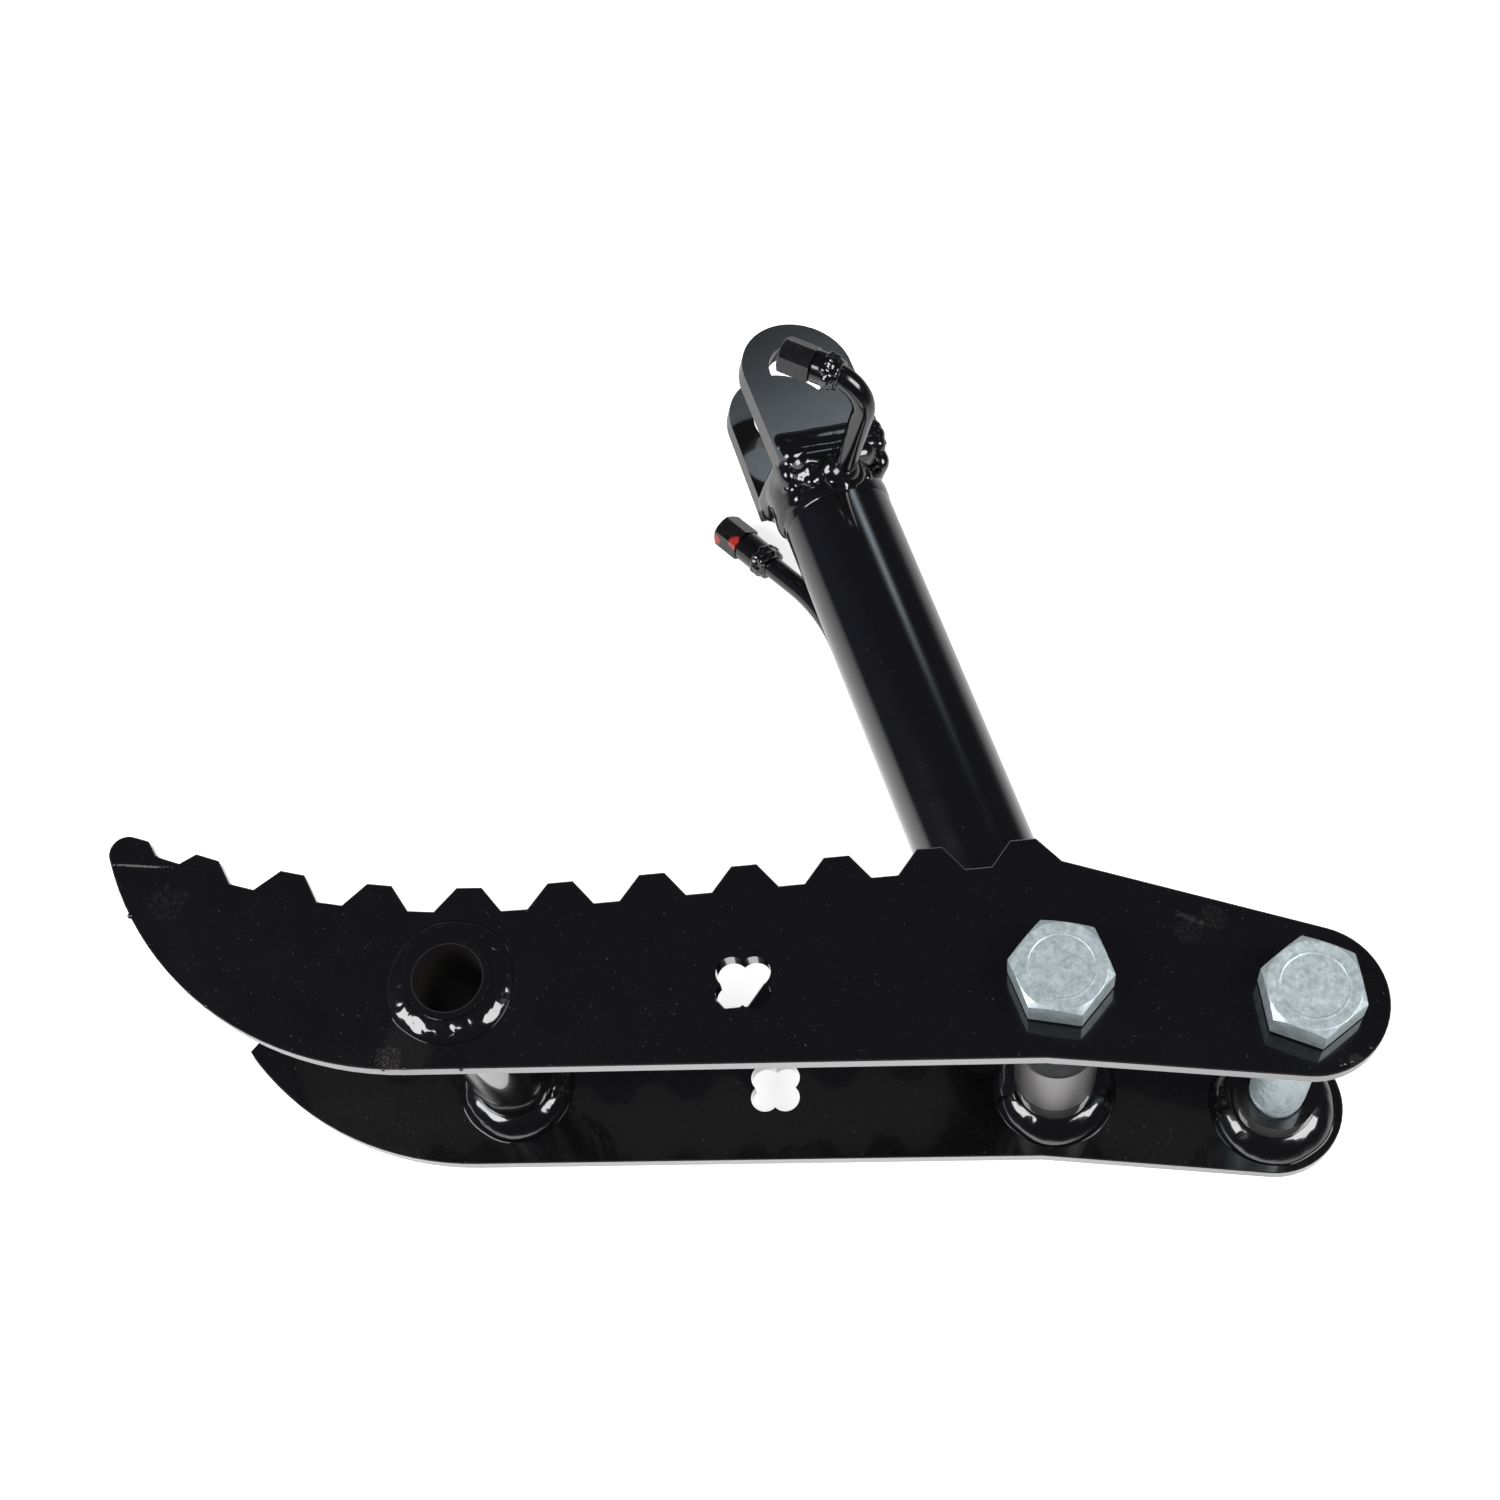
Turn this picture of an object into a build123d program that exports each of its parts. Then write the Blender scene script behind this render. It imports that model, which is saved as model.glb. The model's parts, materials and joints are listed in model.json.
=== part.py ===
from build123d import *
from math import acos, atan2, cos, degrees, hypot, radians, sin
import os

# Hydraulic thumb for a small excavator, lying on its side.
# X runs along the side plates from the tip to the rounded end, Y towards the base end of
# the cylinder, Z is square to the plates. The origin is on the axis of the arm pivot,
# midway between the two plates. All lengths are millimetres, all angles degrees.

# Side plates
plate_thickness = 6.5
plate_gap = 112.5
plate_edge_break = 0.4
end_radius = 25.35
lower_edge_y = -17.55
lower_kink = (-83.9, lower_edge_y)
belly_centre_x = -293.0
belly_radius = 115.95
tip_radius = 6.2
tip_angle = 199.3
tip_corner = (-389.2, 66.3)
tip_step = [(-386.0, 60.9), (-384.0, 59.9), (-377.3, 57.6)]
top_corner = (-76.1, 49.95)

# Teeth, laid out along the line through their crests
tooth_pitch = 31.15
tooth_depth = 8.7
last_tooth_depth = 6.8
crest_flat = 8.6
root_flat = 8.7
tooth_count = 10
rack_start = (-104.2, 56.85)
rack_slope = 4.0
rack_straight = 147.5
rack_bend_radius = 297.0

# Four-lobed hole
clover_centre = (-181.6, 9.7)
clover_lobe_radius = 5.3
clover_lobe_offset = 3.8

# Pivots, bosses and cross tube
cylinder_pivot = (-78.4, 8.3)
cross_tube_centre = (-279.5, 12.4)
boss_radius = 14.5
boss_bore_radius = 10.35
boss_inner_length = 18.5
boss_outer_length = 1.5
fit_clearance = 0.05
tube_bore_radius = 11.8
tube_protrusion = 4.0
weld_leg_out = 6.8
weld_leg_up = 7.0
tube_weld_out = 6.2
tube_weld_up = 3.2

# Hex bolts, 20 mm shank, and their nuts
bolt_radius = 10.0
bolt_length = 150.0
head_across_flats = 30.0
head_height = 12.5
head_mark_radius = 11.4
head_mark_depth = 0.25
nut_height = 18.0
head_turns = {"pivot": 38.2, "cylinder": 50.3}

# Cylinder: lengths along its axis are counted from the axis of the rod eye
cylinder_azimuth = 109.2
barrel_roll = 16.5
cylinder_height = -17.3
rod_offset = 1.2
eye_radius = 14.75
eye_length = 40.5
eye_bore_radius = 10.08
rod_radius = 10.0
rod_end = 197.0
rod_stub_radius = 7.0
rod_stub_end = 229.0
barrel_radius = 21.8
barrel_bore_radius = 16.0
barrel_start = 40.0
barrel_end = 238.0
gland_front = 34.0
gland_depth = 70.0
gland_slot_width = 6.0
cap_end = 253.0
cap_spigot = 3.0
piston_length = 22.0
piston_nut_height = 10.0
piston_nut_across_flats = 24.0
groove_depth = 3.0

# Clevis at the base end
pin_distance = 295.0
ear_radius = 22.8
ear_thickness = {1: 8.0, -1: 6.5}
ear_outer = 20.5
pin_hole_radius = 12.25
ear_ends = {1: (pin_distance, 0.4), -1: (pin_distance + 1.2, -0.7)}
ear_weld_radius = 6.5
ear_weld_reach = 12.0
ear_inner_weld_radius = 5.5
ear_inner_weld_reach = 16.5

# Ports, pipes and end fittings
pipe_radius = 4.4
pipe_wall = 1.2
base_port_x = 243.0
base_port_depth = 9.0
base_pipe_rise = 73.2
base_pipe_bend = 13.5
base_leg = Vector(14.9, 15.2, -2.7)
base_sleeve_length = 7.9
port_weld_radius = 8.5
rod_port_x = 56.0
rod_port_turn = -71.0
rod_port_radius = 9.5
rod_port_top = 34.0
rod_pipe_offset = 26.5
rod_pipe_corner = 209.7
rod_pipe_bend = 80.0
rod_leg = Vector(37.5, 14.8, -10.6)
rod_sleeve_length = 13.0
sleeve_radius = 6.3
sleeve_overlap = 6.0
nose_radius = 4.95
nose_length = 10.0
nose_bore_radius = 2.5
cap_across_flats = 12.7
cap_length = 12.8
cap_bore_radius = 5.02
cap_gap = 0.3

plate_inner = plate_gap / 2
plate_outer = plate_inner + plate_thickness
head_seat = plate_outer + boss_outer_length
bolt_holes = {"pivot": (0.0, 0.0), "cylinder": cylinder_pivot}


def at_angle(angle, radius):
    return Vector(cos(radians(angle)), sin(radians(angle))) * radius


def tangent_point(point, centre, radius, side):
    # The point where a line from the given point touches a circle on one side.
    offset = Vector(*point) - Vector(*centre)
    reach = degrees(acos(radius / offset.length))
    heading = degrees(atan2(offset.Y, offset.X))
    return Vector(*centre) + at_angle(heading + side * reach, radius)


def rack_point(along, depth):
    # A point at a distance along the crest line, sunk below it by depth.
    straight = min(along, rack_straight)
    heading = 180 + rack_slope
    place = Vector(*rack_start) + at_angle(heading, straight)
    turn = degrees((along - straight) / rack_bend_radius)
    if turn > 0:
        centre = place + at_angle(heading - 90, rack_bend_radius)
        return centre + at_angle(heading + 90 - turn, rack_bend_radius + depth)
    return place + at_angle(heading + 90, depth)


def tooth_points():
    # Crest and root corners from the tip end to the pivot end.
    points = []
    for tooth in range(tooth_count - 1, -1, -1):
        crest = (tooth - 0.5) * tooth_pitch
        lift = tooth_depth - last_tooth_depth if tooth == tooth_count - 1 else 0
        points.append(rack_point(crest + crest_flat / 2, lift))
        points.append(rack_point(crest - crest_flat / 2, lift))
        if tooth > 0:
            root = (tooth - 1) * tooth_pitch
            points.append(rack_point(root + root_flat / 2, tooth_depth))
            points.append(rack_point(root - root_flat / 2, tooth_depth))
    return points


def plate_outline():
    belly_centre = Vector(belly_centre_x, lower_edge_y + belly_radius)
    tip_centre = belly_centre + at_angle(tip_angle, belly_radius - tip_radius)
    end_top = tangent_point(top_corner, (0, 0), end_radius, -1)
    end_bottom = tangent_point(lower_kink, (0, 0), end_radius, 1)
    belly_bottom = belly_centre + at_angle(270, belly_radius)
    belly_middle = belly_centre + at_angle((270 + tip_angle) / 2, belly_radius)
    belly_tip = belly_centre + at_angle(tip_angle, belly_radius)
    tip_top = tangent_point(tip_corner, (tip_centre.X, tip_centre.Y), tip_radius, 1)
    tip_middle = tip_centre + at_angle(136, tip_radius)
    edges = [
        ThreePointArc(end_top, (end_radius, 0), end_bottom),
        Polyline(end_bottom, lower_kink, belly_bottom),
        ThreePointArc(belly_bottom, belly_middle, belly_tip),
        ThreePointArc(belly_tip, tip_middle, tip_top),
        Polyline(tip_top, tip_corner, *tip_step, *tooth_points(), top_corner, end_top),
    ]
    return make_face(edges)


def clover():
    lobes = [
        Pos(clover_centre[0] + x, clover_centre[1] + y) * Circle(clover_lobe_radius)
        for x in (-clover_lobe_offset, clover_lobe_offset)
        for y in (-clover_lobe_offset, clover_lobe_offset)
    ]
    return Sketch() + lobes + Pos(*clover_centre) * Rectangle(6, 6)


def side_plate(bottom):
    outline = plate_outline()
    body = extrude(Pos(0, 0, bottom) * outline, plate_thickness)
    rims = body.edges().filter_by(lambda edge: abs(edge.tangent_at(0.5).Z) < 0.1)
    body = chamfer(rims, plate_edge_break)
    holes = Sketch() + clover()
    for centre in (*bolt_holes.values(), cross_tube_centre):
        holes += Pos(*centre) * Circle(boss_radius + fit_clearance)
    return body - extrude(Pos(0, 0, bottom) * holes, plate_thickness)


def ring(centre, bottom, top, outer, inner):
    # An upright tube between two heights.
    section = Circle(outer) - Circle(inner) if inner else Circle(outer)
    return Pos(centre[0], centre[1], bottom) * extrude(section, top - bottom)


def weld_ring(centre, height, radius, out, up):
    # A full fillet weld round a tube; up is negative where it hangs below its plate.
    inside = radius - 0.5
    profile = Polyline(
        (inside, 0), (radius + out, 0), (radius + 0.72 * out, 0.68 * up), (inside, up), close=True
    )
    return Pos(centre[0], centre[1], height) * revolve(Plane.XZ * make_face(profile), Axis.Z)


def boss(centre, side):
    # Tube stock through the plate, welded to the plate's inner face.
    low, high = sorted((side * (plate_inner - boss_inner_length), side * head_seat))
    tube = ring(centre, low, high, boss_radius, boss_bore_radius)
    weld = weld_ring(centre, side * plate_inner, boss_radius, weld_leg_out, -side * weld_leg_up)
    return tube + weld - ring(centre, low - 1, high + 1, boss_bore_radius, 0)


def cross_tube():
    half = plate_outer + tube_protrusion
    body = ring(cross_tube_centre, -half, half, boss_radius, tube_bore_radius)
    for side in (-1, 1):
        body += weld_ring(
            cross_tube_centre, side * plate_outer, boss_radius, tube_weld_out, side * tube_weld_up
        )
        body += weld_ring(
            cross_tube_centre, side * plate_inner, boss_radius, tube_weld_out, -side * weld_leg_up
        )
    return body


def hexagon(across_flats):
    return RegularPolygon(across_flats / 2, 6, major_radius=False)


def hex_prism(across_flats, height, top_bevel=True, bottom_bevel=False):
    # A hexagonal prism whose corners are turned off at thirty degrees.
    prism = extrude(hexagon(across_flats), height)
    corner = across_flats / 2 / cos(radians(30))
    flat = across_flats / 2 * 0.97
    drop = (corner - flat) * 0.577
    profile = [(0, 0), (corner, 0), (corner, height), (0, height)]
    if bottom_bevel:
        profile[0:2] = [(0, 0), (flat, 0), (corner, drop)]
    if top_bevel:
        profile[-2:] = [(corner, height - drop), (flat, height), (0, height)]
    turned = revolve(Plane.XZ * make_face(Polyline(*profile, close=True)), Axis.Z)
    return prism & turned


def bolt(name):
    centre = bolt_holes[name]
    head = hex_prism(head_across_flats, head_height)
    head -= Pos(0, 0, head_height - head_mark_depth) * Cylinder(
        head_mark_radius, 1, align=(Align.CENTER, Align.CENTER, Align.MIN)
    )
    head = Pos(centre[0], centre[1], head_seat) * Rot(0, 0, head_turns[name]) * head
    shank = extrude(Circle(bolt_radius), -bolt_length)
    shank = chamfer(shank.faces().sort_by(Axis.Z)[0].edges(), 1.2)
    return head + Pos(centre[0], centre[1], head_seat) * shank


def nut(name):
    centre = bolt_holes[name]
    body = hex_prism(head_across_flats, nut_height, bottom_bevel=True)
    body -= extrude(Circle(bolt_radius + fit_clearance), nut_height)
    return Pos(centre[0], centre[1], -head_seat - nut_height) * Rot(0, 0, 17) * body


# Cylinder, drawn along X with the rod eye's axis at the origin. The rod side stands level,
# the barrel side is rolled about the same axis.
eye_frame = Pos(cylinder_pivot[0], cylinder_pivot[1], cylinder_height) * Rot(0, 0, cylinder_azimuth)
rod_frame = eye_frame * Pos(0, -rod_offset, 0)
barrel_frame = rod_frame * Rot(barrel_roll, 0, 0)


def turned(points):
    # A body of revolution about X from points of distance along the axis and radius.
    return revolve(make_face(Polyline(*points, close=True)), Axis.X)


def turned_ring(start, end, outer, inner):
    return turned([(start, inner), (end, inner), (end, outer), (start, outer)])


def rod_eye():
    eye = Pos(0, 0, -eye_length / 2) * extrude(Circle(eye_radius), eye_length)
    eye = chamfer(eye.edges().filter_by(GeomType.CIRCLE), 0.6)
    weld = turned([(6, 0), (21, 0), (21, rod_radius + 0.4), (15, 14.2), (6, 14.2)])
    weld -= turned_ring(0, 30, rod_radius + fit_clearance, 0)
    body = eye + Pos(0, -rod_offset, 0) * weld
    return body - extrude(Circle(eye_bore_radius), eye_length, both=True)


def piston_rod():
    rod = turned([
        (rod_radius, 0), (rod_stub_end, 0), (rod_stub_end, rod_stub_radius - 1),
        (rod_stub_end - 1, rod_stub_radius), (rod_end, rod_stub_radius),
        (rod_end, rod_radius - 1), (rod_end - 1, rod_radius), (rod_radius, rod_radius),
    ])
    return rod - Pos(0, rod_offset, 0) * extrude(Circle(eye_radius + fit_clearance), eye_length, both=True)


def piston():
    start = rod_end + fit_clearance
    outer = barrel_bore_radius - fit_clearance
    body = turned_ring(start, start + piston_length, outer, rod_stub_radius + fit_clearance)
    for groove, width in ((start + 4, 4), (start + 13, 6)):
        body -= turned_ring(groove, groove + width, outer + 1, outer - groove_depth)
    return body


def piston_ring(offset, width):
    start = rod_end + fit_clearance + offset + fit_clearance
    outer = barrel_bore_radius - fit_clearance / 2
    inner = barrel_bore_radius - groove_depth
    return turned_ring(start, start + width - 2 * fit_clearance, outer, inner)


def piston_nut():
    body = hex_prism(piston_nut_across_flats, piston_nut_height)
    body -= extrude(Circle(rod_stub_radius + fit_clearance), piston_nut_height)
    return Pos(rod_end + piston_length + 2 * fit_clearance, 0, 0) * Rot(0, 90, 0) * body


def gland():
    flange = turned_ring(gland_front, barrel_start, barrel_radius - 0.5, rod_radius + fit_clearance)
    plug = turned_ring(
        barrel_start, gland_depth, barrel_bore_radius - fit_clearance, rod_radius + fit_clearance
    )
    body = flange + plug
    body -= turned_ring(gland_front, gland_front + 4, 13, 0)
    body -= turned_ring(52, 58, 13, 0)
    body -= turned_ring(62, 65, 17, 13.8)
    for turn in (0, 90, 180, 270):
        slot = Pos(gland_front + 2, 19, 0) * Box(4.2, 5, gland_slot_width)
        body -= Rot(turn, 0, 0) * slot
    return body


def barrel_tube():
    tube = turned_ring(barrel_start, barrel_end, barrel_radius, barrel_bore_radius)
    port = Pos(rod_port_x + 18, 0, 0) * Rot(rod_port_turn, 0, 0) * Pos(0, 18, 0)
    return tube - port * Rot(90, 0, 0) * Cylinder(2.5, 12)


def base_cap():
    cap = turned([
        (barrel_end, 0), (cap_end, 0), (cap_end, barrel_radius), (barrel_end + 2, barrel_radius),
        (barrel_end, barrel_radius - 2),
    ])
    cap += turned_ring(barrel_end - cap_spigot, barrel_end, barrel_bore_radius - fit_clearance, 0)
    bore = Cylinder(pipe_radius + fit_clearance, base_port_depth + 8)
    cap -= Pos(base_port_x, 0, barrel_radius + 4 - base_port_depth / 2) * bore
    passage = Cylinder(2.5, 18)
    return cap - Pos(barrel_end + 2, 0, 10) * Rot(0, 90, 0) * passage


def barrel_weld():
    # The bead between barrel and cap, a ring with a flat-topped crown that fills the groove.
    crown = turned([
        (barrel_end + 4.5, barrel_radius), (barrel_end + 2.5, barrel_radius + 1.2),
        (barrel_end - 0.5, barrel_radius + 1.2), (barrel_end - 2.5, barrel_radius),
        (barrel_end, barrel_radius), (barrel_end, barrel_radius - 2), (barrel_end + 2, barrel_radius),
    ])
    hole = extrude(Circle(pipe_radius + fit_clearance), barrel_radius + 5)
    return crown - Pos(base_port_x, 0, 0) * hole


def bead(height, radius, reach):
    # A round-ended weld bead across the end of the cap.
    run = Pos(cap_end, 0, height) * Rot(90, 0, 0) * Cylinder(radius, 2 * reach)
    for end in (-reach, reach):
        run += Pos(cap_end, end, height) * Sphere(radius)
    return run


def ear(side):
    end_x, end_y = ear_ends[side]
    outline = Pos(end_x, end_y) * Circle(ear_radius)
    outline += make_face(Polyline(
        (cap_end, ear_radius), (cap_end, -ear_radius), (end_x, end_y - ear_radius),
        (end_x, end_y + ear_radius), close=True,
    ))
    outline -= Pos(pin_distance, 0) * Circle(pin_hole_radius)
    inner_face = ear_outer - ear_thickness[side]
    low, high = sorted((side * inner_face, side * ear_outer))
    plate = Pos(0, 0, low) * extrude(outline, high - low)
    outside = bead(side * (ear_outer - 4), ear_weld_radius, ear_weld_reach)
    inside = bead(side * inner_face, ear_inner_weld_radius, ear_inner_weld_reach)
    return plate + outside + inside - turned_ring(200, cap_end, barrel_radius, 0)


def pipe(points, bend):
    route = FilletPolyline(*points, radius=bend)
    section = Circle(pipe_radius) - Circle(pipe_radius - pipe_wall)
    start = Plane(origin=route @ 0, z_dir=route % 0)
    return sweep(start * section, path=route)


def base_pipe_points():
    foot = Vector(base_port_x, 0, barrel_radius - base_port_depth + 0.2)
    corner = Vector(base_port_x, 0, base_pipe_rise)
    return [foot, corner, corner + base_leg]


def base_port_pipe():
    body = pipe(base_pipe_points(), base_pipe_bend)
    weld = Pos(base_port_x, 0, 0) * extrude(Circle(port_weld_radius), barrel_radius + 5, taper=0)
    weld &= Pos(base_port_x, 0, barrel_radius - 1) * Sphere(port_weld_radius - 1.5)
    weld -= turned_ring(150, 260, barrel_radius, 0)
    weld -= barrel_weld()
    weld -= ear(1)
    bore = Pos(base_port_x, 0, 0) * extrude(Circle(pipe_radius - pipe_wall), 50)
    return body + (weld - bore)


def rod_pipe_points():
    side = Rot(rod_port_turn, 0, 0) * Pos(0, rod_pipe_offset, 0)
    start = Vector(rod_port_x + 1, side.position.Y, side.position.Z)
    corner = Vector(rod_pipe_corner, side.position.Y, side.position.Z)
    return [start, corner, corner + rod_leg]


def rod_port_pipe():
    return pipe(rod_pipe_points(), rod_pipe_bend)


def rod_port_block():
    # A round boss saddled on the barrel; the pipe enters its side.
    block = Rot(rod_port_turn, 0, 0) * Pos(rod_port_x, 0, 0) * Rot(-90, 0, 0)
    body = block * extrude(Circle(rod_port_radius), rod_port_top)
    body -= turned_ring(20, 100, barrel_radius + 0.02, 0)
    points = rod_pipe_points()
    bore = Pos(points[0]) * Rot(0, 90, 0) * extrude(Circle(pipe_radius + fit_clearance), 20)
    return body - bore


def end_frame(points):
    # The place where a pipe's sleeve begins, with Z along the pipe's last leg.
    direction = (points[-1] - points[-2]).normalized()
    return Plane(origin=points[-1] - direction * sleeve_overlap, z_dir=direction).location


def fitting(points, length):
    # Sleeve over the pipe's end, with a threaded nose.
    nose_end = length + nose_length
    profile = [
        (pipe_radius + fit_clearance, 0), (sleeve_radius - 0.8, 0), (sleeve_radius, 0.8),
        (sleeve_radius, length - 0.5), (sleeve_radius - 0.5, length), (nose_radius, length),
        (nose_radius, nose_end - 1), (nose_radius - 1, nose_end), (nose_bore_radius, nose_end),
        (nose_bore_radius, sleeve_overlap + fit_clearance),
        (pipe_radius + fit_clearance, sleeve_overlap + fit_clearance),
    ]
    body = revolve(Plane.XZ * make_face(Polyline(*profile, close=True)), Axis.Z)
    return end_frame(points) * body


def fitting_cap(points, length, turn):
    # Hexagonal plastic cap screwed over the nose.
    cap = hex_prism(cap_across_flats, cap_length)
    cap -= extrude(Circle(cap_bore_radius), nose_length + 0.6)
    return end_frame(points) * Pos(0, 0, length + cap_gap) * Rot(0, 0, turn) * cap


def rod_seal_ring(start, end, outer):
    return turned_ring(start + fit_clearance, end - fit_clearance, outer - fit_clearance,
                       rod_radius + fit_clearance / 2)


parts = {
    "upper_side_plate": side_plate(plate_inner),
    "lower_side_plate": side_plate(-plate_outer),
    "cross_tube": cross_tube(),
}
for name, centre in bolt_holes.items():
    parts[f"{name}_boss_upper"] = boss(centre, 1)
    parts[f"{name}_boss_lower"] = boss(centre, -1)
    parts[f"{name}_bolt"] = bolt(name)
    parts[f"{name}_nut"] = nut(name)

rod_side = {
    "piston_rod": piston_rod(),
    "piston": piston(),
    "piston_wear_ring": piston_ring(4, 4),
    "piston_seal": piston_ring(13, 6),
    "piston_nut": piston_nut(),
}
barrel_side = {
    "barrel_tube": barrel_tube(),
    "rod_gland": gland(),
    "rod_wiper": rod_seal_ring(gland_front, gland_front + 4, 13),
    "rod_seal": rod_seal_ring(52, 58, 13),
    "gland_o_ring": turned_ring(62.05, 64.95, barrel_bore_radius - 0.02, 13.85),
    "base_cap": base_cap(),
    "barrel_weld": barrel_weld(),
    "upper_ear": ear(1),
    "lower_ear": ear(-1),
    "base_port_pipe": base_port_pipe(),
    "base_port_fitting": fitting(base_pipe_points(), base_sleeve_length),
    "base_port_cap": fitting_cap(base_pipe_points(), base_sleeve_length, 34),
    "rod_port_block": rod_port_block(),
    "rod_port_pipe": rod_port_pipe(),
    "rod_port_fitting": fitting(rod_pipe_points(), rod_sleeve_length),
    "rod_port_cap": fitting_cap(rod_pipe_points(), rod_sleeve_length, 30),
}
parts["rod_eye"] = eye_frame * rod_eye()
parts.update({name: rod_frame * shape for name, shape in rod_side.items()})
parts.update({name: barrel_frame * shape for name, shape in barrel_side.items()})

os.makedirs("parts", exist_ok=True)
for name, shape in parts.items():
    export_step(shape, f"parts/{name}.step")
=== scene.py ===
import bpy
import bmesh
import json
import math
from mathutils import Matrix, Vector, noise


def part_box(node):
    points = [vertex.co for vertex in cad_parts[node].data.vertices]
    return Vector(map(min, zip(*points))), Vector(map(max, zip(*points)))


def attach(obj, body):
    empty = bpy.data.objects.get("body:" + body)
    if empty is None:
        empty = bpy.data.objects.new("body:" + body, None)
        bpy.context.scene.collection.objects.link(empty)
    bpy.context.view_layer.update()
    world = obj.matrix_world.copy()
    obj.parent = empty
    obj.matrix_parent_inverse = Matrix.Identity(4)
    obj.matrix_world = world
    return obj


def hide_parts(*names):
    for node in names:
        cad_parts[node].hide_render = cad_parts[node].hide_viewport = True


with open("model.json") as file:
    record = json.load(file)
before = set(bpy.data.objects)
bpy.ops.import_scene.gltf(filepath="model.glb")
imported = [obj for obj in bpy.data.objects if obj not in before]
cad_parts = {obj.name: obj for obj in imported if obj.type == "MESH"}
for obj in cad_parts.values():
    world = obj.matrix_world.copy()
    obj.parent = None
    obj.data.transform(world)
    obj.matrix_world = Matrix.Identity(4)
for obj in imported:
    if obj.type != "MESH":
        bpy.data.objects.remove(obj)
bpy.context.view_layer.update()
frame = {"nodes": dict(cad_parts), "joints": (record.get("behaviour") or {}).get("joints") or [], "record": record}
mm = 0.001
nodes = frame["nodes"]
joints = {joint["name"]: joint for joint in frame["joints"]}
mounts = {mount["name"]: mount for mount in frame["record"]["mounts"]}
print("frame loaded")

# places on the thumb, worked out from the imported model
alongBarrel = Vector(joints["cylinder_stroke"]["axis"]).normalized()
earNormal = -Vector(mounts["clevis_bore"]["axis"]).normalized()
barrelSide = earNormal.cross(alongBarrel).normalized()
pinDistance = 295 * mm
barrelZero = Vector(mounts["clevis_bore"]["pos_m"]) - pinDistance * alongBarrel
barrelFrame = Matrix((alongBarrel, barrelSide, earNormal)).transposed().to_4x4()
barrelFrame.translation = barrelZero
layAlong = Matrix.Rotation(math.radians(90), 4, "Y")  # lays a shape made round Z along X
cylinderPivot = Vector(joints["cylinder_swing"]["pos_m"])
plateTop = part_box("upper_side_plate")[1].z
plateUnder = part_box("upper_side_plate")[0].z


def boxMiddle(node):
    low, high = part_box(node)
    return (low + high) / 2


pivotCentre = Vector((0, 0, 0))
swingCentre = Vector((cylinderPivot.x, cylinderPivot.y, 0))
tubeCentre = Vector((boxMiddle("cross_tube").x, boxMiddle("cross_tube").y, 0))


def onBarrel(along, side, up):
    # a point in the barrel's own directions, in mm, as a place in the frame
    return barrelFrame @ Vector((along * mm, side * mm, up * mm))


# shader helpers
def startMaterial(name):
    material = bpy.data.materials.new(name)
    material.use_nodes = True
    tree = material.node_tree
    place = tree.nodes.new("ShaderNodeTexCoord").outputs["Object"]
    return material, tree, tree.nodes["Principled BSDF"], place


def addNoise(tree, place, scale, detail=2.0, roughness=0.5):
    texture = tree.nodes.new("ShaderNodeTexNoise")
    texture.inputs["Scale"].default_value = scale
    texture.inputs["Detail"].default_value = detail
    texture.inputs["Roughness"].default_value = roughness
    tree.links.new(place, texture.inputs["Vector"])
    return texture.outputs[0]


def addCells(tree, place, scale):
    texture = tree.nodes.new("ShaderNodeTexVoronoi")
    texture.inputs["Scale"].default_value = scale
    tree.links.new(place, texture.inputs["Vector"])
    return texture


def stretched(tree, place, scale, turn):
    mapping = tree.nodes.new("ShaderNodeMapping")
    mapping.inputs["Scale"].default_value = scale
    mapping.inputs["Rotation"].default_value = [math.radians(angle) for angle in turn]
    tree.links.new(place, mapping.inputs["Vector"])
    return mapping.outputs[0]


def remap(tree, value, fromLow, fromHigh, toLow, toHigh):
    node = tree.nodes.new("ShaderNodeMapRange")
    node.inputs["From Min"].default_value = fromLow
    node.inputs["From Max"].default_value = fromHigh
    node.inputs["To Min"].default_value = toLow
    node.inputs["To Max"].default_value = toHigh
    tree.links.new(value, node.inputs["Value"])
    return node.outputs["Result"]


def calculate(tree, operation, first, second):
    node = tree.nodes.new("ShaderNodeMath")
    node.operation = operation
    for socket, value in zip(node.inputs, (first, second)):
        if isinstance(value, (int, float)):
            socket.default_value = value
        else:
            tree.links.new(value, socket)
    return node.outputs[0]


def mixColours(tree, factor, first, second):
    node = tree.nodes.new("ShaderNodeMix")
    node.data_type = "RGBA"
    tree.links.new(factor, node.inputs[0])
    for socket, value in ((node.inputs[6], first), (node.inputs[7], second)):
        if isinstance(value, tuple):
            socket.default_value = (*value, 1)
        else:
            tree.links.new(value, socket)
    return node.outputs[2]


def addBump(tree, height, depth, under=None):
    node = tree.nodes.new("ShaderNodeBump")
    node.inputs["Distance"].default_value = depth
    tree.links.new(height, node.inputs["Height"])
    if under:
        tree.links.new(under, node.inputs["Normal"])
    return node.outputs[0]


spotLook = {"ragged": 0.6, "edge": (1.05, 0.85)}  # shares of the spot's radius


def nearSpot(tree, place, spot, radius, grain):
    # 1 within a ragged spot round a point, 0 outside it
    node = tree.nodes.new("ShaderNodeVectorMath")
    node.operation = "DISTANCE"
    node.inputs[1].default_value = spot
    tree.links.new(place, node.inputs[0])
    most = spotLook["ragged"] * radius
    ragged = remap(tree, addNoise(tree, place, grain, 3), 0, 1, -most, most)
    reach = calculate(tree, "ADD", node.outputs["Value"], ragged)
    outer, inner = spotLook["edge"]
    return remap(tree, reach, outer * radius, inner * radius, 0, 1)


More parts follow.
